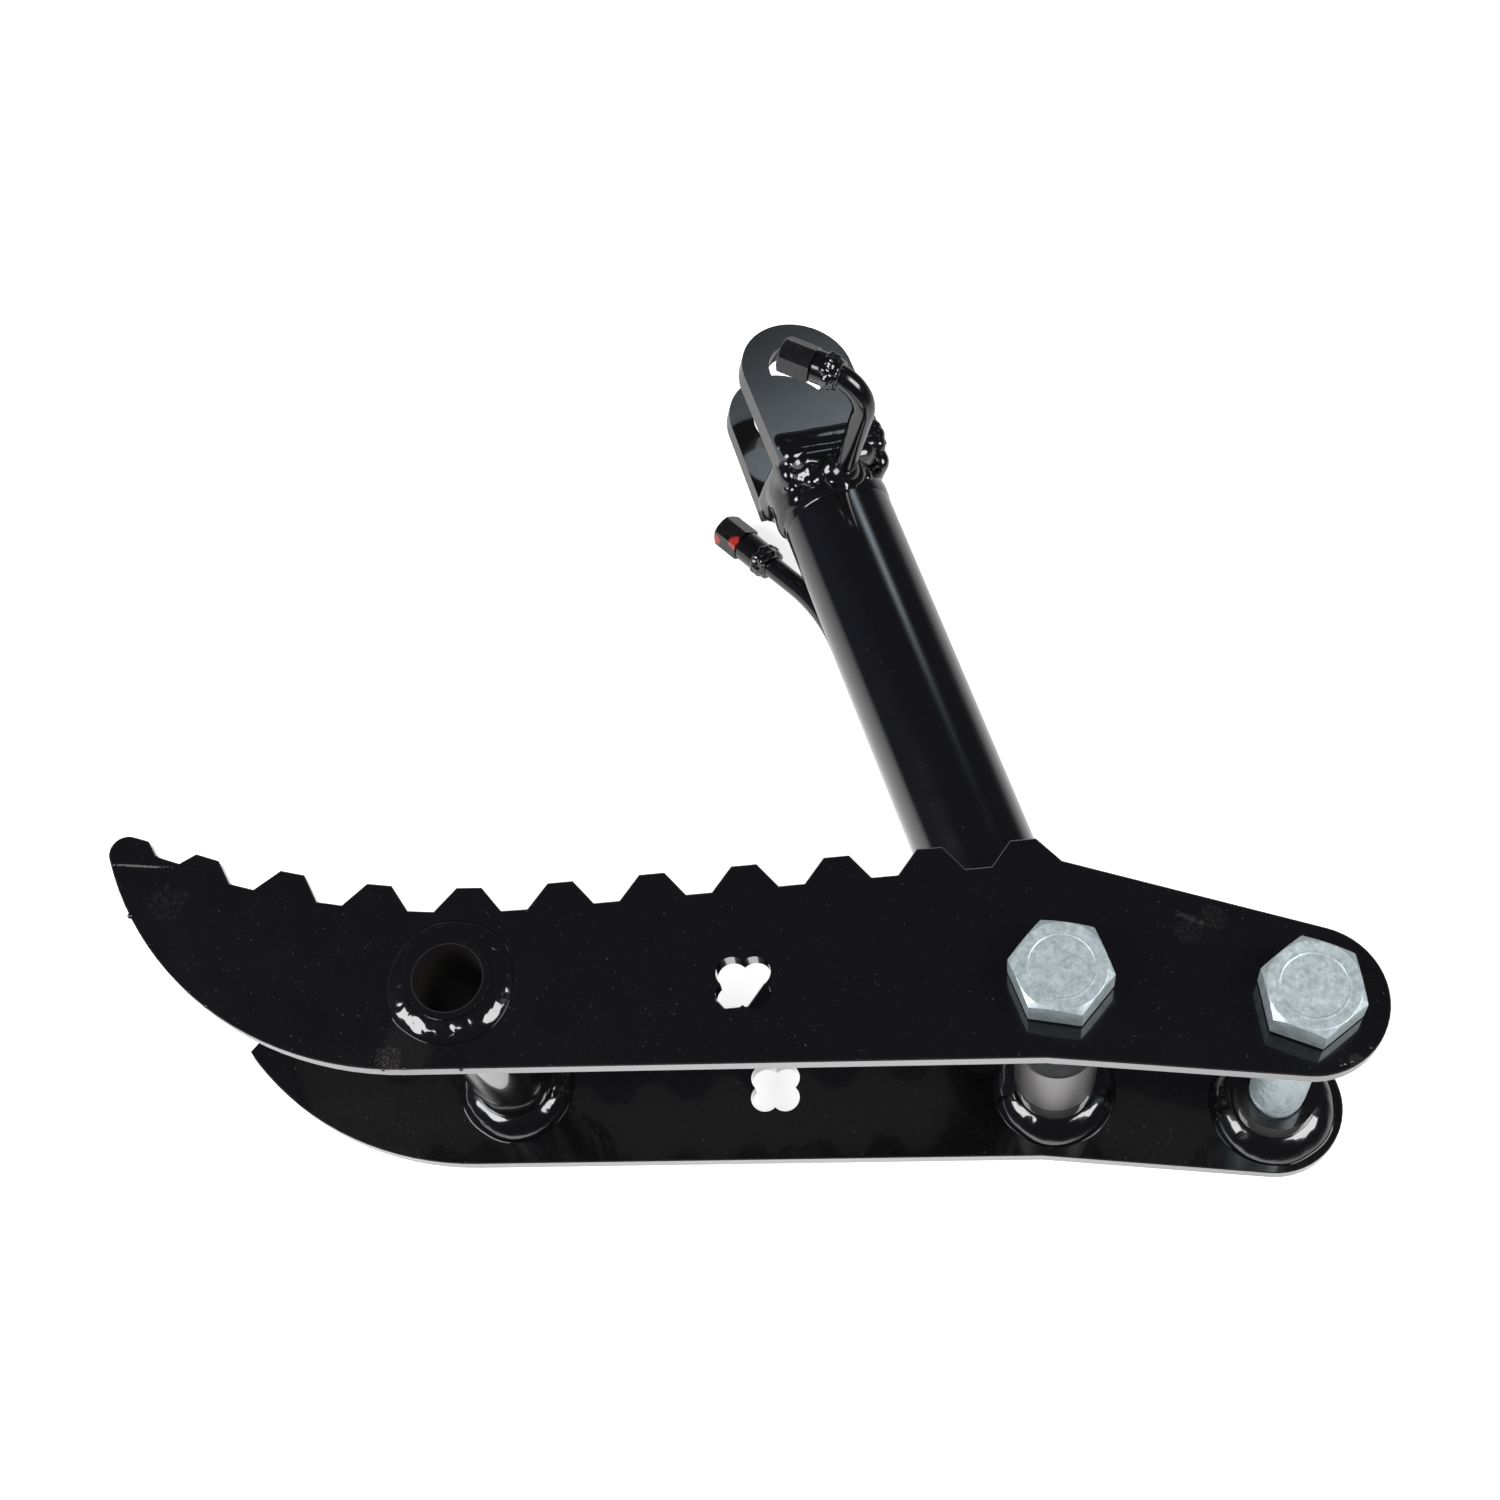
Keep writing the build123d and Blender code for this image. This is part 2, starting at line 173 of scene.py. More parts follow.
# finishes
paintLook = {
    "colour": (0.0030, 0.0030, 0.0035),
    "hazeColour": (0.0044, 0.0044, 0.0050),
    "dustColour": (0.035, 0.033, 0.032),
    "dustLimit": 0.75,
    "dustEdge": 0.03,
    "roughness": (0.13, 0.19),
    "coatRoughness": 0.04,
    "coatIor": 1.62,
    "ior": 1.5,
    "waveScale": 38,
    "waveDepth": 0.02 * mm,
    "peelScale": 520,
    "peelDepth": 0.005 * mm,
    "cutColour": (0.062, 0.057, 0.056),
    "cutLevel": (0.8, 0.6),
    "cutRoughness": 0.5,
    "smoothHole": None,  # place and radius round which the sides stay black
    "hazeScale": 24,
    "speckScale": 1400,
    "speckDepth": 0.02 * mm,
    "cloudScale": 70,
    "grainScale": 900,
    "markRoughness": 0.7,
}


def levelReach(tree, place, centre, start, end):
    # runs from 0 to 1 between two distances from an upright line
    offset = tree.nodes.new("ShaderNodeVectorMath")
    offset.operation = "SUBTRACT"
    offset.inputs[1].default_value = centre
    tree.links.new(place, offset.inputs[0])
    level = tree.nodes.new("ShaderNodeVectorMath")
    level.operation = "MULTIPLY"
    level.inputs[1].default_value = (1, 1, 0)
    tree.links.new(offset.outputs[0], level.inputs[0])
    reach = tree.nodes.new("ShaderNodeVectorMath")
    reach.operation = "LENGTH"
    tree.links.new(level.outputs[0], reach.inputs[0])
    return remap(tree, reach.outputs["Value"], start, end, 0, 1)


def cutEdges(tree, faceNormal, look):
    # 1 on the flame-cut sides of a plate, 0 on its two faces
    across = tree.nodes.new("ShaderNodeVectorMath")
    across.operation = "DOT_PRODUCT"
    across.inputs[1].default_value = faceNormal
    coordinates = tree.nodes.new("ShaderNodeTexCoord")
    tree.links.new(coordinates.outputs["Normal"], across.inputs[0])
    level = calculate(tree, "ABSOLUTE", across.outputs["Value"], 0)
    sides = remap(tree, level, *look["cutLevel"], 0, 1)
    if not look["smoothHole"]:
        return sides
    centre, reach = look["smoothHole"]
    beyond = levelReach(tree, coordinates.outputs["Object"], centre, reach, reach + mm)
    return calculate(tree, "MULTIPLY", sides, beyond)


def addMarks(tree, place, marks, dullness, colour, rough):
    # marks cover the paint's colour and take its gloss coat away
    coat = None
    for markMask, markColour in marks:
        mask = markMask(tree, place)
        colour = mixColours(tree, mask, colour, markColour)
        rough = calculate(tree, "MAXIMUM", rough, calculate(tree, "MULTIPLY", mask, dullness))
        left = calculate(tree, "SUBTRACT", 1, mask)
        coat = left if coat is None else calculate(tree, "MULTIPLY", coat, left)
    return colour, rough, coat


def paintMaterial(name, faceNormal=None, marks=(), **changes):
    # black gloss paint; marks are functions that give a mask, with the mark's colour
    look = {**paintLook, **changes}
    material, tree, shader, place = startMaterial(name)
    haze = addNoise(tree, place, look["hazeScale"], 4, 0.6)
    colour = mixColours(tree, haze, look["colour"], look["hazeColour"])
    specks = addNoise(tree, place, look["speckScale"], 1)
    dust = remap(tree, specks, look["dustLimit"], look["dustLimit"] + look["dustEdge"], 0, 1)
    colour = mixColours(tree, dust, colour, look["dustColour"])
    cloud = addNoise(tree, place, look["cloudScale"], 3)
    rough = remap(tree, cloud, 0.35, 0.65, *look["roughness"])
    if faceNormal:
        sides = cutEdges(tree, faceNormal, look)
        grain = remap(tree, addNoise(tree, place, look["grainScale"], 2), 0.3, 0.7, 0.7, 1)
        colour = mixColours(tree, calculate(tree, "MULTIPLY", sides, grain), colour, look["cutColour"])
        dull = calculate(tree, "MULTIPLY", sides, look["cutRoughness"])
        rough = calculate(tree, "MAXIMUM", rough, dull)
    colour, rough, coat = addMarks(tree, place, marks, look["markRoughness"], colour, rough)
    tree.links.new(colour, shader.inputs["Base Color"])
    tree.links.new(rough, shader.inputs["Roughness"])
    wave = addBump(tree, addNoise(tree, place, look["waveScale"], 2), look["waveDepth"])
    peel = addBump(tree, addNoise(tree, place, look["peelScale"], 2), look["peelDepth"], wave)
    normal = addBump(tree, dust, look["speckDepth"], peel)
    tree.links.new(normal, shader.inputs["Normal"])
    tree.links.new(normal, shader.inputs["Coat Normal"])
    shader.inputs["IOR"].default_value = look["ior"]
    shader.inputs["Coat Weight"].default_value = 1
    if coat:
        tree.links.new(coat, shader.inputs["Coat Weight"])
    shader.inputs["Coat Roughness"].default_value = look["coatRoughness"]
    shader.inputs["Coat IOR"].default_value = look["coatIor"]
    return material


stripeLook = {"noise": (0.3, 0.7), "ragged": (-0.5, 0.5), "edge": (1.15, 0.85), "depth": 1 * mm}


def stripe(start, end, width, grain, strength=1.0):
    # a ragged line between two places, as a mask
    first, last = Vector(start), Vector(end)
    middle = (first + last) / 2
    along = (last - first).normalized()
    side = along.orthogonal() if abs(along.z) > 0.9 else Vector((-along.y, along.x, 0))
    half = (last - first).length / 2

    def mask(tree, place):
        offset = tree.nodes.new("ShaderNodeVectorMath")
        offset.operation = "SUBTRACT"
        offset.inputs[1].default_value = middle
        tree.links.new(place, offset.inputs[0])
        reaches = []
        upwards = (Vector((0, 0, 1)), stripeLook["depth"])
        for direction, limit in ((along, half), (side, width / 2), upwards):
            part = tree.nodes.new("ShaderNodeVectorMath")
            part.operation = "DOT_PRODUCT"
            part.inputs[1].default_value = direction
            tree.links.new(offset.outputs[0], part.inputs[0])
            size = calculate(tree, "ABSOLUTE", part.outputs["Value"], 0)
            reaches.append(calculate(tree, "DIVIDE", size, limit))
        reach = calculate(tree, "MAXIMUM", calculate(tree, "MAXIMUM", reaches[0], reaches[1]), reaches[2])
        ragged = addNoise(tree, place, grain, 3)
        ragged = remap(tree, ragged, *stripeLook["noise"], *stripeLook["ragged"])
        reach = calculate(tree, "ADD", reach, ragged)
        return remap(tree, reach, *stripeLook["edge"], 0, strength)

    return mask


smudgeLook = {"fineness": 2.2, "patches": (0.45, 0.68)}


def smudge(centre, radius, grain, strength):
    # a patchy round stain as a mask
    def mask(tree, place):
        spot = nearSpot(tree, place, centre, radius, grain)
        patches = addNoise(tree, place, grain * smudgeLook["fineness"], 4, 0.65)
        patches = remap(tree, patches, *smudgeLook["patches"], 0, strength)
        return calculate(tree, "MULTIPLY", spot, patches)

    return mask


tubeBoreEdge = (12.5 * mm, 11.9 * mm)


def boreMask(tree, place):
    # inside of the cross tube
    return levelReach(tree, place, tubeCentre, *tubeBoreEdge)


zincLook = {
    "light": (0.66, 0.745, 0.775),
    "dark": (0.40, 0.49, 0.52),
    "metal": 0.42,
    "roughness": (0.28, 0.5),
    "spangleScale": 620,
    "grainScale": 1800,
    "grainDepth": 0.035 * mm,
    "darkShare": (0.34, 0.58),
    "patchScale": 700,
    "patchDepth": 0.3,
    "roughScale": 320,
    "waveScale": 260,
    "waveDepth": 0.09 * mm,
}


def zincMaterial():
    look = zincLook
    material, tree, shader, place = startMaterial("zincPlate")
    cloud = addNoise(tree, place, look["spangleScale"], 6, 0.68)
    colour = mixColours(tree, remap(tree, cloud, *look["darkShare"], 0, 1), look["dark"], look["light"])
    patches = addCells(tree, place, look["patchScale"]).outputs["Color"]
    tone = tree.nodes.new("ShaderNodeSeparateColor")
    tree.links.new(patches, tone.inputs[0])
    shade = remap(tree, tone.outputs[0], 0, 1, 0, look["patchDepth"])
    colour = mixColours(tree, shade, colour, look["dark"])
    tree.links.new(colour, shader.inputs["Base Color"])
    rough = remap(tree, addNoise(tree, place, look["roughScale"], 4), 0.35, 0.65, *look["roughness"])
    tree.links.new(rough, shader.inputs["Roughness"])
    grain = addBump(tree, addNoise(tree, place, look["grainScale"], 3), look["grainDepth"])
    normal = addBump(tree, addNoise(tree, place, look["waveScale"], 3), look["waveDepth"], grain)
    tree.links.new(normal, shader.inputs["Normal"])
    shader.inputs["Metallic"].default_value = look["metal"]
    return material


metalLook = {"shade": 0.7, "grooveDepth": 0.006 * mm}
rubberLook = {"lift": 1.8, "grainDepth": 0.02 * mm}


def metalMaterial(name, colour, roughness, streaks):
    # turned or polished metal with fine lines round the cylinder's axis
    material, tree, shader, place = startMaterial(name)
    swing = math.degrees(math.atan2(alongBarrel.y, alongBarrel.x))
    grooves = addNoise(tree, stretched(tree, place, streaks, (0, 0, swing)), 1, 3)
    darker = tuple(metalLook["shade"] * part for part in colour)
    tree.links.new(mixColours(tree, grooves, darker, colour), shader.inputs["Base Color"])
    tree.links.new(remap(tree, grooves, 0.3, 0.7, *roughness), shader.inputs["Roughness"])
    tree.links.new(addBump(tree, grooves, metalLook["grooveDepth"]), shader.inputs["Normal"])
    shader.inputs["Metallic"].default_value = 1
    return material


def rubberMaterial(name, colour, roughness, grain):
    material, tree, shader, place = startMaterial(name)
    cloud = addNoise(tree, place, grain, 4)
    lighter = tuple(rubberLook["lift"] * part for part in colour)
    tree.links.new(mixColours(tree, cloud, colour, lighter), shader.inputs["Base Color"])
    tree.links.new(remap(tree, cloud, 0.3, 0.7, *roughness), shader.inputs["Roughness"])
    tree.links.new(addBump(tree, cloud, rubberLook["grainDepth"]), shader.inputs["Normal"])
    return material


capLook = {
    "black": (0.009, 0.009, 0.010),
    "red": (0.58, 0.045, 0.035),
    "roughness": (0.16, 0.34),
    "edgeScale": 900,
    "speckScale": 1100,
    "speckLimit": (0.74, 0.78),
    "speckStrength": 0.7,
    "cloudScale": 260,
    "rippleScale": 420,
    "rippleDepth": 0.03 * mm,
    "coat": (0.6, 0.08),  # weight and roughness
}


def capMaterial(name, spots):
    # red plastic under black overspray, which missed a few spots
    look = capLook
    material, tree, shader, place = startMaterial(name)
    bare = None
    for spot, radius in spots:
        mask = nearSpot(tree, place, spot, radius * mm, look["edgeScale"])
        bare = mask if bare is None else calculate(tree, "MAXIMUM", bare, mask)
    specks = addNoise(tree, place, look["speckScale"], 2)
    speck = remap(tree, specks, *look["speckLimit"], 0, look["speckStrength"])
    bare = calculate(tree, "MAXIMUM", bare, speck)
    tree.links.new(mixColours(tree, bare, look["black"], look["red"]), shader.inputs["Base Color"])
    cloud = addNoise(tree, place, look["cloudScale"], 3)
    tree.links.new(remap(tree, cloud, 0.3, 0.7, *look["roughness"]), shader.inputs["Roughness"])
    ripple = addBump(tree, addNoise(tree, place, look["rippleScale"], 2), look["rippleDepth"])
    tree.links.new(addBump(tree, bare, look["rippleDepth"], ripple), shader.inputs["Normal"])
    shader.inputs["Coat Weight"].default_value = look["coat"][0]
    shader.inputs["Coat Roughness"].default_value = look["coat"][1]
    return material


# marks on the upper plate, in mm on its top face
def onPlate(x, y):
    return (x * mm, y * mm, plateTop)


plateMarks = [
    # a nick in the paint, drawn flat as a matte dash blacker than the paint: painted shade in place of its sunken
    # groove
    (stripe(onPlate(-40.6, 30.7), onPlate(-32.2, 27.0), 1.7 * mm, 700),
     (0.0002, 0.0002, 0.0002)),
    (stripe(onPlate(-399, 57.6), onPlate(-383.4, 56.3), 0.7 * mm, 900, 0.7),
     (0.16, 0.155, 0.15)),
    (smudge(onPlate(-28.5, 28.6), 4.5 * mm, 500, 0.35), (0.06, 0.05, 0.045)),
    (smudge(onPlate(-36.5, 24.0), 4.5 * mm, 600, 0.3), (0.06, 0.05, 0.045)),
    (smudge(onPlate(-379.5, 43.0), 7 * mm, 260, 0.3), (0.045, 0.045, 0.045)),
    (smudge(onPlate(-298.4, -13.8), 4.5 * mm, 700, 0.6), (0.09, 0.08, 0.075)),
    (smudge(onPlate(-292.0, -10.0), 9 * mm, 1500, 0.5), (0.05, 0.045, 0.042)),
    # a light grey patch at the plate's end edge: painted glints, where the edge catches the light
    (smudge(onPlate(12.5, -20.5), 2.4 * mm, 1500, 0.35), (0.16, 0.15, 0.15)),
]
cloverCentre = (-181.6 * mm, 9.7 * mm, 0)
cloverReach = 19.5 * mm
platePaint = paintMaterial("platePaint", faceNormal=(0, 0, 1), marks=plateMarks,
                           smoothHole=(cloverCentre, cloverReach))
tubePaint = paintMaterial("tubePaint", marks=[(boreMask, (0.005, 0.003, 0.0022))])
barrelPaint = paintMaterial("barrelPaint", peelDepth=0.003 * mm, waveDepth=0.015 * mm, dustLimit=0.78)
earPaint = paintMaterial("earPaint", faceNormal=tuple(earNormal), waveDepth=0.03 * mm,
                         cutColour=(0.12, 0.113, 0.113))
pipePaint = paintMaterial("pipePaint", waveDepth=0.06 * mm, waveScale=90, coatRoughness=0.14,
                          coatIor=1.5)
weldPaint = paintMaterial("weldPaint", waveScale=200, waveDepth=0.07 * mm, peelScale=700,
                          peelDepth=0.005 * mm, coatRoughness=0.03, dustLimit=0.8)
zinc = zincMaterial()
chrome = metalMaterial("hardChrome", (0.62, 0.63, 0.65), (0.06, 0.14), (900, 60, 60))
machinedSteel = metalMaterial("turnedSteel", (0.42, 0.42, 0.43), (0.22, 0.4), (2600, 120, 120))
satinSteel = metalMaterial("satinEyeSteel", (0.27, 0.26, 0.26), (0.36, 0.44), (420, 420, 900))
sealRubber = rubberMaterial("sealRubber", (0.012, 0.012, 0.013), (0.45, 0.65), 800)
guideRing = rubberMaterial("guideRing", (0.11, 0.06, 0.025), (0.35, 0.5), 1200)
slotFinish = {
    "black_paint": platePaint,
    "zinc": zinc,
    "chrome_rod": chrome,
    "machined_steel": machinedSteel,
    "seal_rubber": sealRubber,
    "guide_ring": guideRing,
}
nodeFinish = {
    "barrel_tube": barrelPaint,
    "base_cap": barrelPaint,
    "upper_ear": earPaint,
    "lower_ear": earPaint,
    "base_port_pipe": pipePaint,
    "rod_port_pipe": pipePaint,
    "base_port_fitting": pipePaint,
    "rod_port_fitting": pipePaint,
    "rod_port_block": pipePaint,
    "barrel_weld": barrelPaint,
    "cross_tube": tubePaint,
    "rod_eye": satinSteel,
}
print("finishes made")


# mesh helpers
def makeObject(name, mesh, body, material):
    # the bmesh becomes a smooth-shaded piece that rides on a body
    bmesh.ops.remove_doubles(mesh, verts=mesh.verts, dist=1e-6)
    bmesh.ops.recalc_face_normals(mesh, faces=mesh.faces)
    data = bpy.data.meshes.new(name)
    mesh.to_mesh(data)
    mesh.free()
    data.materials.append(material)
    data.polygons.foreach_set("use_smooth", [True] * len(data.polygons))
    piece = bpy.data.objects.new(name, data)
    bpy.context.scene.collection.objects.link(piece)
    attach(piece, body)
    return piece


def addRoundEdges(piece, width, segments, limit):
    bevel = piece.modifiers.new("roundEdges", "BEVEL")
    bevel.width = width
    bevel.segments = segments
    bevel.limit_method = "ANGLE"
    bevel.angle_limit = math.radians(limit)
    bevel.harden_normals = True


def spinProfile(mesh, points, steps):
    # turns a line of (radius, height) points into a closed skin round Z
    made = [mesh.verts.new((radius, 0, height)) for radius, height in points]
    edges = [mesh.edges.new(pair) for pair in zip(made, made[1:])]
    bmesh.ops.spin(mesh, geom=made + edges, cent=(0, 0, 0), axis=(0, 0, 1),
                   angle=math.tau, steps=steps, use_merge=True)


def frameAt(centre, direction):
    # a frame whose Z runs along a direction
    return Matrix.Translation(centre) @ direction.to_track_quat("Z", "Y").to_matrix().to_4x4()


# weld beads round tubes
beadLook = {
    "profileSteps": 14,
    "ringSteps": 180,
    "tilts": (12, 64),  # slope at the tube and at the toe
    "sunk": 0.4,  # how far the bead's back stands inside the tube
    "ripple": 0.04,
    "crescent": 1.4,
    "lump": 0.3,
    "fine": 0.05,
    "wander": 0.7,
    "waves": (1.6, 6, 15),  # slow, quick and fine noise round the ring
    "lean": 1.2,  # how steeply the swelling points away from the plate
}


def ringNoise(angle, wave, height):
    return noise.noise(Vector((math.cos(angle) * wave, math.sin(angle) * wave, height)))


def beadProfile(radius, out, up, tilts, steps):
    # an arc whose slope grows from the tube down to the toe, stretched to the bead's size
    first, last = [math.radians(tilt) for tilt in tilts]
    wide = math.sin(last) - math.sin(first)
    high = math.cos(first) - math.cos(last)
    points = []
    for step in range(steps + 1):
        tilt = last + (first - last) * step / steps
        reach = out * (math.sin(tilt) - math.sin(first)) / wide
        points.append(((radius + reach) * mm, up * (math.cos(tilt) - math.cos(last)) / high * mm))
    back = (radius - beadLook["sunk"]) * mm
    points += [(back, up * mm), (back, 0), points[0]]
    return points


def ringBead(name, place, body, radius, out, up, ripples, seed, **changes):
    # a fillet bead round a tube, laid by hand: its width and height wander
    look = {**beadLook, **changes}
    slowWave, quickWave, fineWave = look["waves"]
    mesh = bmesh.new()
    profile = beadProfile(radius, out, up, look["tilts"], look["profileSteps"])
    spinProfile(mesh, profile, look["ringSteps"])
    for vert in mesh.verts:
        angle = math.atan2(vert.co.y, vert.co.x)
        share = (math.hypot(vert.co.x, vert.co.y) / mm - radius) / out
        phase = ripples * angle / math.tau + look["crescent"] * (share - 0.45) ** 2
        crest = 1 - 2 * abs(phase % 1 - 0.5)
        slow = ringNoise(angle, slowWave, seed)
        quick = ringNoise(angle, quickWave, seed + share * 2.5)
        swell = look["ripple"] * (crest ** 0.7 - 0.4) + look["lump"] * (slow + 0.5 * quick)
        swell += look["fine"] * ringNoise(angle, fineWave, seed + share * 6)
        edge = math.sin(math.pi * min(max(share, 0), 1))
        outward = Vector((math.cos(angle), math.sin(angle), math.copysign(look["lean"], up))).normalized()
        vert.co += outward * swell * mm * edge
        widen = look["wander"] * slow * share
        vert.co += Vector((math.cos(angle), math.sin(angle), 0)) * widen * mm
    mesh.transform(place)
    makeObject(name, mesh, body, weldPaint)


def upright(centre, height):
    return Matrix.Translation(Vector((centre.x, centre.y, height)))


# lumps of weld metal: balls fused by a voxel remesh, then smoothed and roughened
lumpLook = {
    "voxel": 0.55,
    "smoothing": 16,
    "lumpScale": 190,
    "lumpDepth": 0.85,
    "fineScale": 480,
    "fineDepth": 0.04,
    "finish": None,
}


def fusedLump(name, balls, body, **changes):
    # balls are (place, radius in mm, stretch in the barrel's directions)
    look = {**lumpLook, **changes}
    mesh = bmesh.new()
    for place, radius, stretch in balls:
        shape = barrelFrame.to_3x3().to_4x4() @ Matrix.Diagonal((*stretch, 1))
        bmesh.ops.create_icosphere(mesh, subdivisions=3, radius=radius * mm,
                                   matrix=Matrix.Translation(place) @ shape)
    rough = bpy.data.meshes.new(name + "Rough")
    mesh.to_mesh(rough)
    mesh.free()
    holder = bpy.data.objects.new(name + "Rough", rough)
    bpy.context.scene.collection.objects.link(holder)
    remesh = holder.modifiers.new("fuse", "REMESH")
    remesh.mode = "VOXEL"
    remesh.voxel_size = look["voxel"] * mm
    graph = bpy.context.evaluated_depsgraph_get()
    fused = bpy.data.meshes.new_from_object(holder.evaluated_get(graph))
    bpy.data.objects.remove(holder)
    mesh = bmesh.new()
    mesh.from_mesh(fused)
    for _ in range(look["smoothing"]):
        bmesh.ops.smooth_vert(mesh, verts=mesh.verts, factor=0.5,
                              use_axis_x=True, use_axis_y=True, use_axis_z=True)
    mesh.normal_update()
    for vert in mesh.verts:
        swell = look["lumpDepth"] * noise.noise(vert.co * look["lumpScale"])
        swell += look["fineDepth"] * noise.noise(vert.co * look["fineScale"])
        vert.co += vert.normal * swell * mm
    makeObject(name, mesh, body, look["finish"] or weldPaint)


def lump(along, side, up, radius, stretch=(1, 1, 1)):
    return onBarrel(along, side, up), radius, stretch


# the barrel's tube, turned in one piece so that its gloss runs clean past the welds
tubeStock = {"start": 40.0, "end": 238.0, "radius": 21.8, "bore": 16.0, "edge": 0.5, "steps": 256}


def makeBarrel():
    look = tubeStock
    outer, inner, edge = look["radius"], look["bore"], look["edge"]
    profile = [
        (inner, look["start"]), (outer - edge, look["start"]), (outer, look["start"] + edge),
        (outer, look["end"]), (inner, look["end"]), (inner, look["start"]),
    ]
    mesh = bmesh.new()
    spinProfile(mesh, [(radius * mm, along * mm) for radius, along in profile], look["steps"])
    mesh.transform(barrelFrame @ layAlong)
    tube = makeObject("barrelTube", mesh, "barrel_side", barrelPaint)
    tube.data.set_sharp_from_angle(angle=math.radians(30))
    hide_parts("barrel_tube")


makeBarrel()
print("barrel made")

# zinc bolts and nuts
boltLook = {
    "acrossFlats": 30.0,
    "headHeight": 12.5,
    "markRadii": (10.5, 12.6),
    "markDepth": 0.3,
    "markSteps": ((0.4, 0.22), (1.1, 0.12)),  # out and up from the inner mark
    "faceShare": 0.985,
    "nutHeight": 18.0,
    "shank": 10.0,
    "length": 150.0,
    "pitch": 2.5,
    "threadDepth": 1.35,
    "threadLength": 52.0,
    "threadCrest": (0.15, 0.42, 0.58),  # how far below the shank, and where along the pitch
    "threadSteps": 40,
    "coreShare": 0.9,
    "tipChamfer": 1.0,
    "steps": 96,
    "headTurn": {"pivot": 38.2, "cylinder": 50.3},
    "nutTurn": 17.0,
    "nutBore": (0.05, 0.9, 0.8),  # clearance on the shank, then the bore's chamfer
    "turnedOff": 0.97,  # the chamfer starts at this share of the flats
    "turnedSlope": 0.577,
    "roundEdge": (0.35 * mm, 3, 24),  # width, segments, angle
}


def hexRadius(angle, acrossFlats):
    # distance from the axis to the side of a hexagon whose corner is at angle 0
    sector = math.radians(60)
    return acrossFlats / 2 / math.cos((angle % sector) - sector / 2)


def hexTurned(mesh, rows, acrossFlats, chamferAt):
    # rows of (radius or None for the hexagon's side, height, face side); corners are turned off
    flat = acrossFlats / 2 * boltLook["turnedOff"]
    corner = acrossFlats / 2 / math.cos(math.radians(30))
    points = [((corner if radius is None else radius) * mm, height * mm) for radius, height in rows]
    spinProfile(mesh, points, boltLook["steps"])
    for vert in mesh.verts:
        reach = math.hypot(vert.co.x, vert.co.y) / mm
        if reach > corner - 0.01:
            angle = math.atan2(vert.co.y, vert.co.x)
            side = hexRadius(angle, acrossFlats)
            vert.co.x *= side / reach
            vert.co.y *= side / reach
            drop = max(side - flat, 0) * boltLook["turnedSlope"]
            height = vert.co.z / mm
            for level, direction in chamferAt:
                if abs(height - level) < 0.01:
                    vert.co.z = (level - direction * drop) * mm


def threadSkin(mesh, bottom, top):
    # one tooth profile spun upwards along the helix
    radius, depth, pitch = boltLook["shank"], boltLook["threadDepth"], boltLook["pitch"]
    lowered, crestStart, crestEnd = boltLook["threadCrest"]
    crest = radius - lowered
    turns = int((top - bottom) / pitch)
    profile = [(radius - depth, 0), (crest, crestStart), (crest, crestEnd), (radius - depth, 1)]
    made = [mesh.verts.new((reach * mm, 0, (bottom + share * pitch) * mm)) for reach, share in profile]
    edges = [mesh.edges.new(pair) for pair in zip(made, made[1:])]
    perTurn = boltLook["threadSteps"]
    bmesh.ops.spin(mesh, geom=made + edges, cent=(0, 0, 0), axis=(0, 0, 1), angle=math.tau * turns,
                   dvec=(0, 0, pitch * mm / perTurn), steps=turns * perTurn)


def headRows():
    # the head's outline from the middle of its face to the shank
    look = boltLook
    top = look["headHeight"]
    low = top - look["markDepth"]
    inner, outer = look["markRadii"]
    face = look["acrossFlats"] / 2 * look["faceShare"]
    marks = [(inner + out, low + up) for out, up in look["markSteps"]]
    rows = [(0, low), (inner, low), *marks, (outer, top), (face, top)]
    return rows + [(None, top), (None, top * 0.5), (None, 0), (look["shank"], 0)]


def shankPoints(threadTop):
    # the plain shank and the thread's core, down to the chamfered tip
    look = boltLook
    shank = look["shank"]
    tip = -look["length"]
    core = shank - look["threadDepth"] * look["coreShare"]
    chamfer = look["tipChamfer"]
    points = [
        (shank, 0), (shank, threadTop + 1), (core, threadTop - 0.5), (core, tip + chamfer),
        (core - chamfer, tip), (0, tip),
    ]
    return [(radius * mm, height * mm) for radius, height in points]


def makeBolt(name, centre):
    look = boltLook
    top = look["headHeight"]
    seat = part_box(name + "_bolt")[1].z / mm - top
    mesh = bmesh.new()
    rows = headRows()
    hexTurned(mesh, rows, look["acrossFlats"], [(top, 1)])
    mesh.transform(Matrix.Rotation(math.radians(look["headTurn"][name]), 4, "Z"))
    threadTop = look["threadLength"] - look["length"]
    spinProfile(mesh, shankPoints(threadTop), look["steps"])
    threadSkin(mesh, look["tipChamfer"] - look["length"], threadTop)
    mesh.transform(upright(centre, seat * mm))
    bolt = makeObject(name + "Bolt", mesh, "frame", zinc)
    addRoundEdges(bolt, *look["roundEdge"])
    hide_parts(name + "_bolt")


def makeNut(name, centre):
    look = boltLook
    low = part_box(name + "_nut")[0].z / mm
    high = look["nutHeight"]
    mesh = bmesh.new()
    clearance, chamferOut, chamferUp = look["nutBore"]
    inner = look["shank"] + clearance
    mouth = inner + chamferOut
    flat = look["acrossFlats"] / 2 * look["turnedOff"]
    rows = [
        (inner, chamferUp), (mouth, 0), (flat, 0), (None, 0), (None, high / 2), (None, high),
        (flat, high), (mouth, high), (inner, high - chamferUp), (inner, chamferUp),
    ]
    hexTurned(mesh, rows, look["acrossFlats"], [(0, -1), (high, 1)])
    mesh.transform(Matrix.Rotation(math.radians(look["nutTurn"]), 4, "Z"))
    mesh.transform(upright(centre, low * mm))
    nut = makeObject(name + "Nut", mesh, "frame", zinc)
    addRoundEdges(nut, *look["roundEdge"])
    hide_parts(name + "_nut")


